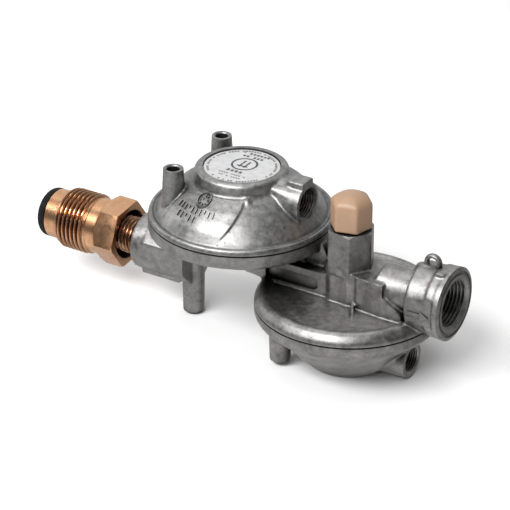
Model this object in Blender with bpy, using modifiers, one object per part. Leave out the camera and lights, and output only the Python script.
"""Two-stage horizontal LP-gas regulator with a soft-nose POL inlet.

Metres, +Z up, +X along the gas flow. The origin is the tip of the inlet nose, on the inlet axis.
The first stage's cover looks up and the second stage's cover looks down. Both stages are built
around their own vertical axis, with height 0 at the seam that clamps the diaphragm.
"""

import math

import bmesh
import bpy
from mathutils import Matrix, Vector

MM = 0.001
MERGE = 1e-5
GAP = 0.3  # mm between neighbouring pieces

# Stage axes and seams, in mm from the tip of the inlet nose
FIRST_X, FIRST_Z = 85.5, 21.8
SECOND_X, SECOND_Z = 130.1, -1.2
OUTLET_Z = 10.1
OUTLET_FACE_X = 172.4

# Driving sizes, in mm
FLANGE_R = 33.6
CHAMBER_R = 27.0
SEAM_HALF = 0.5
DIAPHRAGM_HALF = 0.2
COVER_PLATE_Z = 3.1  # the second cover's plate, above its seam
BOWL_END_Z = -21.5  # the second bonnet's foot, from its seam
INLET_BOSS_X = 43.5
INLET_BOSS_R = 10.4
INLET_BORE_R = 6.9
NIPPLE_R = 6.55
NUT_REAR_X = 35.8
HEX_FRONT_X = 27.5
THREAD_REAR_X = 21.8
THREAD_FRONT_X = 10.1
POL_THREAD_R = 11.17
NOSE_R = 9.3
SEAL_END_X = 3.6
POST_OFFSET_X, POST_OFFSET_Y = -18.6, 15.9
POST_HOLE_R = 2.35
BODY_POST_BOTTOM_Z, BONNET_POST_BOTTOM_Z = -23.0, -22.2
COLLAR_R = 16.7
COLLAR_TOP = 19.3
LABEL_R = 13.7
FIRST_VENT_X, FIRST_VENT_Z, FIRST_VENT_R = 27.3, 11.2, 7.6
SECOND_VENT_X, SECOND_VENT_Z, SECOND_VENT_R = 26.0, -15.8, 6.8
TOWER_TOP_Z = 28.9
TOWER_FLATS = 15.0
TOWER_BORE_R = 5.5
CAP_FLATS = 13.4
CAP_TOP_Z = 41.6
CHANNEL_HALF = 7.1
CHANNEL_TOP_Z = 14.5
CHANNEL_START_X, CHANNEL_END_X = 101.5, 152.5
OUTLET_R = 13.0
OUTLET_HOLE_R = 8.55
EYE_X, EYE_Z, EYE_R = 162.0, 24.8, 3.3
LEVER_PIVOT_X, LEVER_PIVOT_Z = -22.8, -28.3

FINE, MEDIUM, SMALL = 40, 24, 14  # segments round a turned piece
COIL_POINTS = 10  # along each turn of a spring


def clear_scene():
    for obj in list(bpy.data.objects):
        bpy.data.objects.remove(obj)


def new_collection(name):
    made = bpy.data.collections.new(name)
    bpy.context.scene.collection.children.link(made)
    return made


def material(name, color, roughness, metallic):
    made = bpy.data.materials.new(name)
    made.use_nodes = True
    shader = made.node_tree.nodes["Principled BSDF"]
    shader.inputs["Base Color"].default_value = (*color, 1)
    shader.inputs["Roughness"].default_value = roughness
    shader.inputs["Metallic"].default_value = metallic
    return made


clear_scene()
PARTS = new_collection("two_stage_regulator")
HELPERS = new_collection("helpers")

CAST = material("die_cast_zinc", (0.42, 0.42, 0.41), 0.42, 1.0)
BRASS = material("brass", (0.72, 0.44, 0.24), 0.28, 1.0)
STEEL = material("steel", (0.55, 0.55, 0.55), 0.3, 1.0)
RUBBER = material("black_rubber", (0.02, 0.02, 0.02), 0.6, 0.0)
TAN_PLASTIC = material("tan_plastic", (0.55, 0.36, 0.24), 0.45, 0.0)
GREY_PLASTIC = material("grey_plastic", (0.25, 0.25, 0.26), 0.5, 0.0)
PAPER = material("label", (0.8, 0.8, 0.8), 0.5, 0.0)
ALUMINIUM = material("aluminium", (0.7, 0.7, 0.7), 0.35, 1.0)


def at(x, y, z):
    """A point in metres from millimetres."""
    return Vector((x, y, z)) * MM


def first(x, y, z):
    """A point near the first stage, from its axis and seam."""
    return at(FIRST_X + x, y, FIRST_Z + z)


def second(x, y, z):
    """A point near the second stage, from its axis and seam."""
    return at(SECOND_X + x, y, SECOND_Z + z)


def new_object(name, data, place, look=None):
    """An object in the parts, or among the helpers when it has no material."""
    obj = bpy.data.objects.new(name, data)
    (PARTS if look else HELPERS).objects.link(obj)
    obj.location = place
    if look:
        data.materials.append(look)
    else:
        obj.hide_render = True
        obj.display_type = "WIRE"
    return obj


def turned(name, profile, place, look=None, steps=FINE, axis="Z"):
    """Turns (radius, height) points, listed down the outer side and back up a bore, about an axis."""
    mesh = bpy.data.meshes.new(name)
    on_axis = profile[0][0] == 0 and profile[-1][0] == 0
    count = len(profile)
    edges = [(i, (i + 1) % count) for i in range(count - 1 if on_axis else count)]
    mesh.from_pydata([(r * MM, 0, z * MM) for r, z in profile], edges, [])
    obj = new_object(name, mesh, place, look)
    if axis == "X":
        obj.rotation_euler.y = math.pi / 2
    screw = obj.modifiers.new("turn", "SCREW")
    screw.steps = screw.render_steps = steps
    screw.use_merge_vertices = True
    screw.merge_threshold = MERGE
    return obj


def disc(radius, low, high, hole=0):
    """The profile of a plain disc or ring."""
    if hole:
        return [(radius, high), (radius, low), (hole, low), (hole, high)]
    return [(0, high), (radius, high), (radius, low), (0, low)]


def rod(name, radius, start, end, look=None, sides=MEDIUM, end_radius=None, turn=0):
    """A cylinder, cone or prism from start to end, with its origin at start."""
    along = end - start
    shape = bmesh.new()
    bmesh.ops.create_cone(
        shape,
        cap_ends=True,
        segments=sides,
        radius1=radius * MM,
        radius2=(radius if end_radius is None else end_radius) * MM,
        depth=along.length,
    )
    bmesh.ops.translate(shape, verts=shape.verts, vec=(0, 0, along.length / 2))
    mesh = bpy.data.meshes.new(name)
    shape.to_mesh(mesh)
    shape.free()
    mesh.shade_smooth()
    mesh.set_sharp_from_angle(angle=math.radians(35))
    obj = new_object(name, mesh, start, look)
    obj.rotation_mode = "QUATERNION"
    obj.rotation_quaternion = along.to_track_quat("Z", "Y")
    mesh.transform(Matrix.Rotation(math.radians(turn), 4, "Z"))
    return obj


def hexagon(name, flats, start, end, look=None, turn=0):
    """A hexagonal bar with the given size across its flats."""
    return rod(name, flats / math.sqrt(3), start, end, look, sides=6, turn=turn)


def block(name, low, high, bevel=0.0):
    """A helper box between two corners, its edges rounded when a bevel is given."""
    shape = bmesh.new()
    bmesh.ops.create_cube(shape, size=1)
    bmesh.ops.scale(shape, vec=high - low, verts=shape.verts)
    mesh = bpy.data.meshes.new(name)
    shape.to_mesh(mesh)
    shape.free()
    obj = new_object(name, mesh, (low + high) / 2)
    if bevel:
        rounding = obj.modifiers.new("rounding", "BEVEL")
        rounding.width = bevel * MM
        rounding.segments = 2
    return obj


def o_ring(name, major, minor, place):
    """A rubber ring of round section."""
    around = 8
    angles = [-2 * math.pi * i / around for i in range(around)]
    profile = [(major + minor * math.cos(a), minor * math.sin(a)) for a in angles]
    turned(name, profile, place, RUBBER, MEDIUM)


def coil(name, radius, wire, turns, low, high, look):
    """A compression spring from low to high, as a wire swept along a helix."""
    curve = bpy.data.curves.new(name, "CURVE")
    curve.dimensions = "3D"
    curve.bevel_depth = wire / 2 * MM
    curve.bevel_resolution = 2
    curve.use_fill_caps = True
    spline = curve.splines.new("POLY")
    count = turns * COIL_POINTS
    spline.points.add(count)
    height = (high - low).length - wire * MM
    for i, point in enumerate(spline.points):
        angle = 2 * math.pi * i / COIL_POINTS
        rise = wire / 2 * MM + height * i / count
        point.co = (radius * MM * math.cos(angle), radius * MM * math.sin(angle), rise, 1)
    return new_object(name, curve, low, look)


def combine(obj, helpers, operation):
    """Adds a Boolean for each helper. The exact solver leaves open edges on the many-sided body."""
    for helper in helpers:
        modifier = obj.modifiers.new(helper.name, "BOOLEAN")
        modifier.operation = operation
        modifier.solver = "MANIFOLD" if obj.name == "regulator_body" else "EXACT"
        modifier.object = helper


def join(obj, *helpers):
    combine(obj, helpers, "UNION")


def cut(obj, *helpers):
    combine(obj, helpers, "DIFFERENCE")


def inlet_fitting():
    """The POL inlet: a nipple with its nose, the rubber seal on it and the nut that turns on it."""
    shank_r, bore_r = 5.5, 2.6
    nipple = [
        (0, 48.5), (NIPPLE_R, 48.5), (NIPPLE_R + 0.2, NUT_REAR_X - 1), (shank_r, NUT_REAR_X - 2),
        (shank_r, 9.5), (NOSE_R, 9.5), (NOSE_R, SEAL_END_X + GAP), (6.4, SEAL_END_X + GAP),
        (6.4, 1.4), (0, 1.4),
    ]
    body = turned("pol_nipple", nipple, at(0, 0, 0), BRASS, MEDIUM, "X")
    cut(body, rod("nipple_bore", bore_r, at(-1, 0, 0), at(50, 0, 0), sides=SMALL))

    seal = [(NOSE_R, SEAL_END_X), (NOSE_R, 2.4), (8.8, 1.2), (7.8, 0.4), (6.4, 0), (bore_r + 0.6, 0),
            (bore_r + 0.6, 1.1), (6.7, 1.1), (6.7, SEAL_END_X)]
    turned("pol_nose_seal", seal, at(0, 0, 0), RUBBER, MEDIUM, "X")

    chamfer, root_r, hex_flats, recess_r = 1.0, 10.4, 22.2, 8.6
    thread = [
        (0, HEX_FRONT_X + 1), (root_r, HEX_FRONT_X + 1), (root_r, THREAD_REAR_X),
        (POL_THREAD_R, THREAD_REAR_X - 0.6), (POL_THREAD_R, THREAD_FRONT_X + chamfer),
        (POL_THREAD_R - chamfer, THREAD_FRONT_X), (0, THREAD_FRONT_X),
    ]
    nut = turned("pol_nut", thread, at(0, 0, 0), BRASS, MEDIUM, "X")
    hexagonal = hexagon("nut_hexagon", hex_flats, at(HEX_FRONT_X, 0, 0), at(NUT_REAR_X, 0, 0), turn=36)
    join(nut, hexagonal)
    cut(
        nut,
        rod("nut_bore", shank_r + GAP, at(0, 0, 0), at(50, 0, 0)),
        rod("nut_recess", recess_r, at(NUT_REAR_X - 4, 0, 0), at(50, 0, 0)),
    )


def inlet_block(body):
    """The inlet boss, its hexagonal block, and the bracket post below it."""
    block_end_x = FIRST_X - 17.8
    boss = rod("inlet_boss", INLET_BOSS_R, at(INLET_BOSS_X, 0, 0), at(block_end_x - 6, 0, 0))
    hexagonal = hexagon("inlet_hexagon", 21.2, at(INLET_BOSS_X + 5, 0, 0), at(block_end_x, 0, 0))
    riser = block("inlet_riser", at(INLET_BOSS_X + 12, -8.2, -2), at(block_end_x - 0.4, 8.2, FIRST_Z - 3))
    post = rod("body_post", 3.85, at(FIRST_X - 21, 0, -9), at(FIRST_X - 21, 0, BODY_POST_BOTTOM_Z))
    join(body, boss, hexagonal, riser, post)


def flow_channel(body):
    """The block that carries gas from the first stage to the valve tower, and on to the outlet."""
    low_z = SECOND_Z + 2
    channel = block(
        "channel", at(CHANNEL_START_X, -CHANNEL_HALF, low_z),
        at(CHANNEL_END_X, CHANNEL_HALF, CHANNEL_TOP_Z), bevel=0.8,
    )
    saddle = block(
        "stage_saddle", at(CHANNEL_START_X - 1, 0.8 - CHANNEL_HALF, CHANNEL_TOP_Z - 4),
        at(FIRST_X + 30, CHANNEL_HALF - 0.8, FIRST_Z - 3),
    )
    tower = hexagon("tower", TOWER_FLATS, second(0, 0, 10), at(SECOND_X, 0, TOWER_TOP_Z), turn=30)
    pocket = block(
        "channel_pocket", at(CHANNEL_START_X - 1, -CHANNEL_HALF - 1, 5.5),
        at(CHANNEL_START_X + 17, -CHANNEL_HALF + 1, 10.5),
    )
    join(body, channel, saddle, tower)
    cut(body, pocket)


def outlet_boss(body):
    """The neck, the threaded outlet boss, its flat with room for the arrow, and the cord eye."""
    neck = rod("outlet_neck", 9.3, at(SECOND_X + 14, 0, OUTLET_Z), at(SECOND_X + 29, 0, OUTLET_Z))
    boss = turned(
        "outlet_body",
        [(0, OUTLET_FACE_X), (OUTLET_R - 1, OUTLET_FACE_X), (OUTLET_R, OUTLET_FACE_X - 1),
         (OUTLET_R, OUTLET_FACE_X - 5.5), (OUTLET_R - 0.8, OUTLET_FACE_X - 6.2),
         (OUTLET_R - 0.8, OUTLET_FACE_X - 12.5), (OUTLET_R - 1.8, OUTLET_FACE_X - 13.5),
         (0, OUTLET_FACE_X - 13.5)],
        at(0, 0, OUTLET_Z), steps=MEDIUM, axis="X",
    )
    web = block("eye_web", at(EYE_X - 4, -1.1, OUTLET_Z + 9), at(EYE_X + 4, 1.1, EYE_Z - 2.2))
    ring = rod("eye_ring", EYE_R, at(EYE_X, -1.3, EYE_Z), at(EYE_X, 1.3, EYE_Z), sides=SMALL)
    hole = rod("eye_hole", 1.5, at(EYE_X, -3, EYE_Z), at(EYE_X, 3, EYE_Z), sides=SMALL)
    join(body, neck, boss, web, ring)
    cut(body, hole)


def gas_passages(body):
    """Every hollow in the body, from the inlet bore to the outlet socket."""
    nozzle_end_x = FIRST_X - 30.5
    bore_end_x = FIRST_X - 35
    cut(
        body,
        rod("inlet_bore", INLET_BORE_R, at(INLET_BOSS_X - 1, 0, 0), at(bore_end_x, 0, 0)),
        rod("orifice_bore", 5.5, at(bore_end_x - 1, 0, 0), at(nozzle_end_x + 1, 0, 0)),
        block("valve_pocket", first(-30.5, -4.9, -30.6), first(-19.5, 4.9, -6)),
        block("lever_trough", first(-20, -2.4, -12.3), first(-10, 2.4, -5)),
        turned(
            "first_chamber",
            [(0, 3), (CHAMBER_R, 3), (CHAMBER_R, -3.5), (21, -9), (14, -12.6), (0, -12.6)],
            first(0, 0, 0),
        ),
        rod("stage_passage", 2.6, first(20, 0, -4), first(20, 0, -15.4), sides=SMALL),
        rod("cross_passage", 2.3, first(18.2, 0, -13.3), second(-3, 0, 9.7), sides=SMALL),
        rod("tower_bore", TOWER_BORE_R, second(0, 0, 7.0), at(SECOND_X, 0, TOWER_TOP_Z + 1)),
        rod("orifice_seat", 5.3, second(0, 0, 4.0), second(0, 0, 7.5)),
        rod("stem_hole", 3.6, second(0, 0, 2), second(0, 0, 5), sides=SMALL),
        turned(
            "second_chamber",
            [(0, 3.4), (6.5, 3.4), (6.5, 2.0), (CHAMBER_R - 1, 2.0), (CHAMBER_R, 0.9),
             (CHAMBER_R, -2), (0, -2)],
            second(0, 0, 0),
        ),
        rod("bonnet_room", FLANGE_R + GAP, second(0, 0, SEAM_HALF), second(0, 0, -6), sides=FINE),
        rod("down_passage", 3.4, second(17, 0, -1), at(SECOND_X + 17, 0, OUTLET_Z), sides=SMALL),
        rod("outlet_passage", 3.4, at(SECOND_X + 14.5, 0, OUTLET_Z), at(160, 0, OUTLET_Z), sides=SMALL),
        rod("outlet_socket", OUTLET_HOLE_R, at(158.5, 0, OUTLET_Z), at(OUTLET_FACE_X + 1, 0, OUTLET_Z)),
        rod(
            "outlet_chamfer", OUTLET_HOLE_R, at(OUTLET_FACE_X - 1.2, 0, OUTLET_Z),
            at(OUTLET_FACE_X + 0.2, 0, OUTLET_Z), end_radius=OUTLET_HOLE_R + 1.4,
        ),
        rod(
            "body_post_hole", POST_HOLE_R, at(FIRST_X - 21, 0, BODY_POST_BOTTOM_Z - 1),
            at(FIRST_X - 21, 0, BODY_POST_BOTTOM_Z + 8), sides=SMALL,
        ),
    )


def regulator_body():
    """One casting: the first stage's bowl, the inlet block, the channel, the tower and the outlet."""
    bowl = [
        (0, -SEAM_HALF), (FLANGE_R, -SEAM_HALF), (FLANGE_R, -5.2), (31.5, -5.8), (15, -15), (0, -15),
    ]
    body = turned("regulator_body", bowl, first(0, 0, 0), CAST)
    cover = [
        (0, COVER_PLATE_Z), (27.4, COVER_PLATE_Z), (29, 4.4), (31, 4.8), (32.6, 4.0), (FLANGE_R, 2.6),
        (FLANGE_R, SEAM_HALF), (0, SEAM_HALF),
    ]
    join(body, turned("second_cover", cover, second(0, 0, 0)))
    inlet_block(body)
    flow_channel(body)
    outlet_boss(body)
    gas_passages(body)


def first_bonnet():
    """The upper cover: dome, label collar, two bracket posts and the vent boss."""
    shell = [
        (14.0, COLLAR_TOP), (COLLAR_R - 0.8, COLLAR_TOP), (COLLAR_R, COLLAR_TOP - 0.9),
        (COLLAR_R + 0.3, 15.6), (18.2, 14.0), (22.0, 11.4), (26.0, 7.4), (29.4, 2.9),
        (31.6, 2.2), (FLANGE_R, 1.8), (FLANGE_R, SEAM_HALF), (CHAMBER_R, SEAM_HALF), (26.2, 3.6),
        (19.5, 10.4), (12.6, 13.4), (12.6, 17.0), (14.0, 17.0),
    ]
    bonnet = turned("first_stage_bonnet", shell, first(0, 0, 0), CAST)
    for side, name in ((-1, "front"), (1, "rear")):
        y = side * POST_OFFSET_Y
        foot, top = first(POST_OFFSET_X, y, 6.5), first(POST_OFFSET_X, y, COLLAR_TOP + 0.2)
        bore = first(POST_OFFSET_X, y, 9.5), first(POST_OFFSET_X, y, COLLAR_TOP + 2)
        join(bonnet, rod(f"first_post_{name}", 4.2, foot, top, end_radius=3.6, sides=SMALL))
        cut(bonnet, rod(f"first_post_hole_{name}", POST_HOLE_R, *bore, sides=SMALL))
    vent_start = first(14.5, 0, FIRST_VENT_Z)
    vent_face = first(FIRST_VENT_X, 0, FIRST_VENT_Z)
    pad = block(
        "vent_pad", first(FIRST_VENT_X - 6, -3.2, FIRST_VENT_Z + 5),
        first(FIRST_VENT_X, 3.2, FIRST_VENT_Z + FIRST_VENT_R + 0.7), bevel=0.5,
    )
    vent = rod("first_vent", FIRST_VENT_R, vent_start, vent_face)
    inside = turned(
        "spring_room",
        [(0, 17.0), (12.6, 17.0), (12.6, 13.4), (19.5, 10.4), (26.2, 3.6), (CHAMBER_R, -1), (0, -1)],
        first(0, 0, 0),
    )
    join(bonnet, vent, pad)
    cut(bonnet, inside, rod("first_vent_bore", 5.3, first(12, 0, FIRST_VENT_Z), vent_face + at(1, 0, 0)))
    vent_screen("first_stage_vent_screen", 5.0, first(FIRST_VENT_X - 6.4, 0, FIRST_VENT_Z))


def second_bonnet():
    """The lower cover: bowl, two bracket posts, the vent boss and the hole for the closing cap."""
    outer = [
        (FLANGE_R, -SEAM_HALF), (FLANGE_R, -3.6), (32.2, -6.0), (28.0, -8.4), (24.5, -11.2),
        (21.2, -15.0), (18.0, -18.6), (15.2, -20.8), (13.0, BOWL_END_Z), (11.0, BOWL_END_Z),
    ]
    inner = [
        (11.0, -15.8), (14.0, -15.8), (18.4, -12.4), (22.0, -8.6), (26.0, -4.8),
        (CHAMBER_R, -SEAM_HALF),
    ]
    bonnet = turned("second_stage_bonnet", outer + inner, second(0, 0, 0), CAST)
    post_end = BONNET_POST_BOTTOM_Z - SECOND_Z
    for side, name in ((-1, "front"), (1, "rear")):
        y = side * POST_OFFSET_Y
        foot, end = second(POST_OFFSET_X, y, -8.6), second(POST_OFFSET_X, y, post_end)
        bore = second(POST_OFFSET_X, y, post_end + 9), second(POST_OFFSET_X, y, post_end - 1)
        join(bonnet, rod(f"second_post_{name}", 4.1, foot, end, end_radius=3.75, sides=SMALL))
        cut(bonnet, rod(f"second_post_hole_{name}", POST_HOLE_R, *bore, sides=SMALL))
    vent_start = second(11.5, 0, SECOND_VENT_Z)
    vent_face = second(SECOND_VENT_X, 0, SECOND_VENT_Z)
    join(bonnet, rod("second_vent", SECOND_VENT_R, vent_start, vent_face))
    inside = turned("relief_room", [(0, 0)] + inner[::-1] + [(11.0, -22), (0, -22)], second(0, 0, 0))
    bore = rod("second_vent_bore", 4.35, second(12.8, 0, SECOND_VENT_Z), vent_face + at(1, 0, 0))
    cut(bonnet, inside, bore)
    vent_screen("second_stage_vent_screen", 4.05, second(SECOND_VENT_X - 6.4, 0, SECOND_VENT_Z))


def vent_screen(name, radius, place):
    rod(name, radius, place, place + at(0.5, 0, 0), GREY_PLASTIC, sides=SMALL)


def diaphragm(name, place, hole):
    """A flat rubber disc with one rolled convolution, clamped at its rim."""
    half, crest = DIAPHRAGM_HALF, 0.8
    roll = [(CHAMBER_R - 1.4, 0.0), (24.2, crest * 0.7), (22.6, crest), (21.0, crest * 0.7), (19.4, 0.0)]
    upper = [(r, z + half) for r, z in roll]
    lower = [(r, z - half) for r, z in roll]
    rim = 31.4
    profile = [(hole, half)] + upper[::-1] + [(rim, half), (rim, -half)] + lower + [(hole, -half)]
    turned(name, profile, place, RUBBER, MEDIUM)


def first_stage_works():
    """Orifice, valve, lever, diaphragm and spring of the high-pressure stage."""
    turned(
        "first_stage_orifice",
        [(1.0, -30.0), (2.6, -30.0), (2.6, -31.2), (5.2, -31.2), (5.2, -34.6), (1.0, -34.6)],
        at(FIRST_X, 0, 0), BRASS, SMALL, "X",
    )
    turned(
        "first_stage_seat_disc", disc(3.1, -29.4, -27.7), at(FIRST_X, 0, 0), RUBBER, SMALL, "X"
    )
    holder = turned(
        "first_stage_valve_holder",
        [(0, -20.2), (4.2, -20.2), (4.2, -28.9), (3.4, -28.9), (3.4, -27.4), (0, -27.4)],
        at(FIRST_X, 0, 0), BRASS, SMALL, "X",
    )
    cut(holder, block("lever_slot", first(-24.6, -1.7, -27), first(-21.0, 1.7, -16)))
    lever()
    pivot = first(LEVER_PIVOT_X, 0, LEVER_PIVOT_Z)
    rod("first_stage_lever_pin", 0.8, pivot - at(0, 4.6, 0), pivot + at(0, 4.6, 0), STEEL, SMALL)
    stem = turned(
        "first_stage_stem",
        [(0, 3.2), (4.5, 3.2), (4.5, 2.2), (2.0, 2.2), (2.0, -SEAM_HALF), (6.0, -SEAM_HALF), (6.0, -1.7),
         (3.2, -1.7), (3.2, -10.4), (0, -10.4)],
        first(0, 0, 0), ALUMINIUM, SMALL,
    )
    cut(stem, block("tip_slot", first(-5, -1.8, -8.9), first(5, 1.8, -6.3)))
    diaphragm("first_stage_diaphragm", first(0, 0, 0), 2.3)
    turned(
        "first_stage_diaphragm_plate",
        [(2.3, 1.9), (16.2, 1.9), (17.0, 2.6), (17.8, 2.6), (16.8, SEAM_HALF), (2.3, SEAM_HALF)],
        first(0, 0, 0), STEEL, MEDIUM,
    )
    coil("first_stage_spring", 8.5, 1.8, 4, first(0, 0, 2.2), first(0, 0, 13.4), STEEL)
    turned("first_stage_spring_seat", disc(12.3, 13.8, 16.2, 4.0), first(0, 0, 0), ALUMINIUM, MEDIUM)
    turned("first_stage_label_plate", disc(LABEL_R, 17.3, 18.3), first(0, 0, 0), ALUMINIUM, MEDIUM)
    turned("first_stage_label", disc(LABEL_R - 0.1, 18.6, 18.8), first(0, 0, 0), PAPER, MEDIUM)


def lever():
    """The bell crank: a flat L with its pivot hole, its short arm in the valve holder."""
    thick, half_limb, tip_x = 2.4, 1.2, 1.0 - LEVER_PIVOT_X
    arm_low, arm_high, tip_low, tip_high = 18.2, 20.4, 20.0, 21.6
    foot = [
        (1.9 * math.cos(a), 1.9 * math.sin(a))
        for a in (math.pi + math.pi * i / 8 for i in range(9))
    ]
    outline = foot + [
        (half_limb, 3.0), (half_limb, arm_low), (tip_x - 3, tip_low), (tip_x, tip_low),
        (tip_x, tip_high), (tip_x - 3.6, tip_high), (-half_limb, arm_high), (-half_limb, 3.0),
    ]
    hole = [(1.1 * math.cos(i * math.pi / 6), 1.1 * math.sin(i * math.pi / 6)) for i in range(12)]
    curve = bpy.data.curves.new("first_stage_lever", "CURVE")
    curve.dimensions = "2D"
    curve.fill_mode = "BOTH"
    curve.extrude = thick / 2 * MM
    for points in (outline, hole):
        spline = curve.splines.new("POLY")
        spline.points.add(len(points) - 1)
        spline.use_cyclic_u = True
        for point, (x, y) in zip(spline.points, points):
            point.co = (x * MM, y * MM, 0, 1)
    obj = new_object(
        "first_stage_lever", curve, first(LEVER_PIVOT_X, 0, LEVER_PIVOT_Z), STEEL
    )
    obj.rotation_euler.x = math.pi / 2


def second_stage_works():
    """Orifice, valve on its stem, diaphragm with its relief, spring and adjusting screw."""
    place = second(0, 0, 0)
    turned("second_stage_orifice", disc(5.0, 4.4, 7.4, 2.2), place, BRASS, SMALL)
    turned("second_stage_seat_disc", disc(3.8, 8.2, 9.5, 1.2), place, RUBBER, SMALL)
    turned(
        "second_stage_valve_holder",
        [(1.2, 13.0), (4.4, 13.0), (4.4, 8.6), (4.1, 8.6), (4.1, 9.8), (1.2, 9.8)],
        place, BRASS, SMALL,
    )
    turned(
        "second_stage_stem",
        [(0, 14.4), (2.2, 14.4), (2.2, 13.3), (0.9, 13.3), (0.9, 1.6), (5.4, 1.6), (5.4, SEAM_HALF),
         (1.6, SEAM_HALF), (1.6, -9.6), (0, -9.6)],
        place, ALUMINIUM, SMALL,
    )
    diaphragm("second_stage_diaphragm", place, 1.9)
    turned(
        "second_stage_diaphragm_plate",
        [(1.9, -SEAM_HALF), (16.8, -SEAM_HALF), (17.8, -2.6), (17.0, -2.6), (16.2, -1.9), (1.9, -1.9)],
        place, STEEL, MEDIUM,
    )
    coil("second_stage_relief_spring", 3.2, 0.8, 4, second(0, 0, -8.0), second(0, 0, -2.2), STEEL)
    turned("second_stage_relief_retainer", disc(4.5, -9.3, -8.3, 1.9), place, ALUMINIUM, SMALL)
    coil("second_stage_spring", 8.6, 1.4, 4, second(0, 0, -14.0), second(0, 0, -2.2), STEEL)
    turned("second_stage_spring_washer", disc(10.4, -15.2, -14.4, 4.0), place, STEEL, MEDIUM)
    turned("second_stage_adjusting_screw", disc(10.6, -18.4, -15.5, 4.5), place, GREY_PLASTIC, MEDIUM)
    cap = turned(
        "second_stage_closing_cap",
        [(0, -18.8), (8.6, -18.8), (8.6, -20.0), (10.6, -20.0), (10.6, -21.0), (0, -21.0)],
        place, GREY_PLASTIC, MEDIUM,
    )
    cut(cap, hexagon("cap_key", 8.0, second(0, 0, -22), second(0, 0, -20.0)))
    o_ring("second_stage_cap_o_ring", 9.7, 0.45, second(0, 0, -19.4))


def valve_port():
    """The tan cap on the tower and the gasket under it."""
    gasket_z = TOWER_TOP_Z + GAP
    cap_z = gasket_z + 0.5 + GAP
    axis_x = SECOND_X
    turned(
        "valve_port_gasket", disc(6.6, 0, 0.5, 5.4), at(axis_x, 0, gasket_z), RUBBER, SMALL
    )
    cap = hexagon(
        "valve_port_cap", CAP_FLATS, at(axis_x, 0, cap_z), at(axis_x, 0, CAP_TOP_Z), TAN_PLASTIC, turn=44
    )
    dome = turned(
        "cap_dome",
        [(0, CAP_TOP_Z), (4.4, CAP_TOP_Z - 0.5), (7.0, CAP_TOP_Z - 1.8), (8.4, CAP_TOP_Z - 3.6),
         (8.4, cap_z - 1), (0, cap_z - 1)],
        at(axis_x, 0, 0), steps=MEDIUM,
    )
    combine(cap, [dome], "INTERSECT")
    join(cap, rod("cap_shank", 5.1, at(axis_x, 0, TOWER_TOP_Z - 7), at(axis_x, 0, cap_z + 2)))


inlet_fitting()
regulator_body()
first_bonnet()
second_bonnet()
first_stage_works()
second_stage_works()
valve_port()
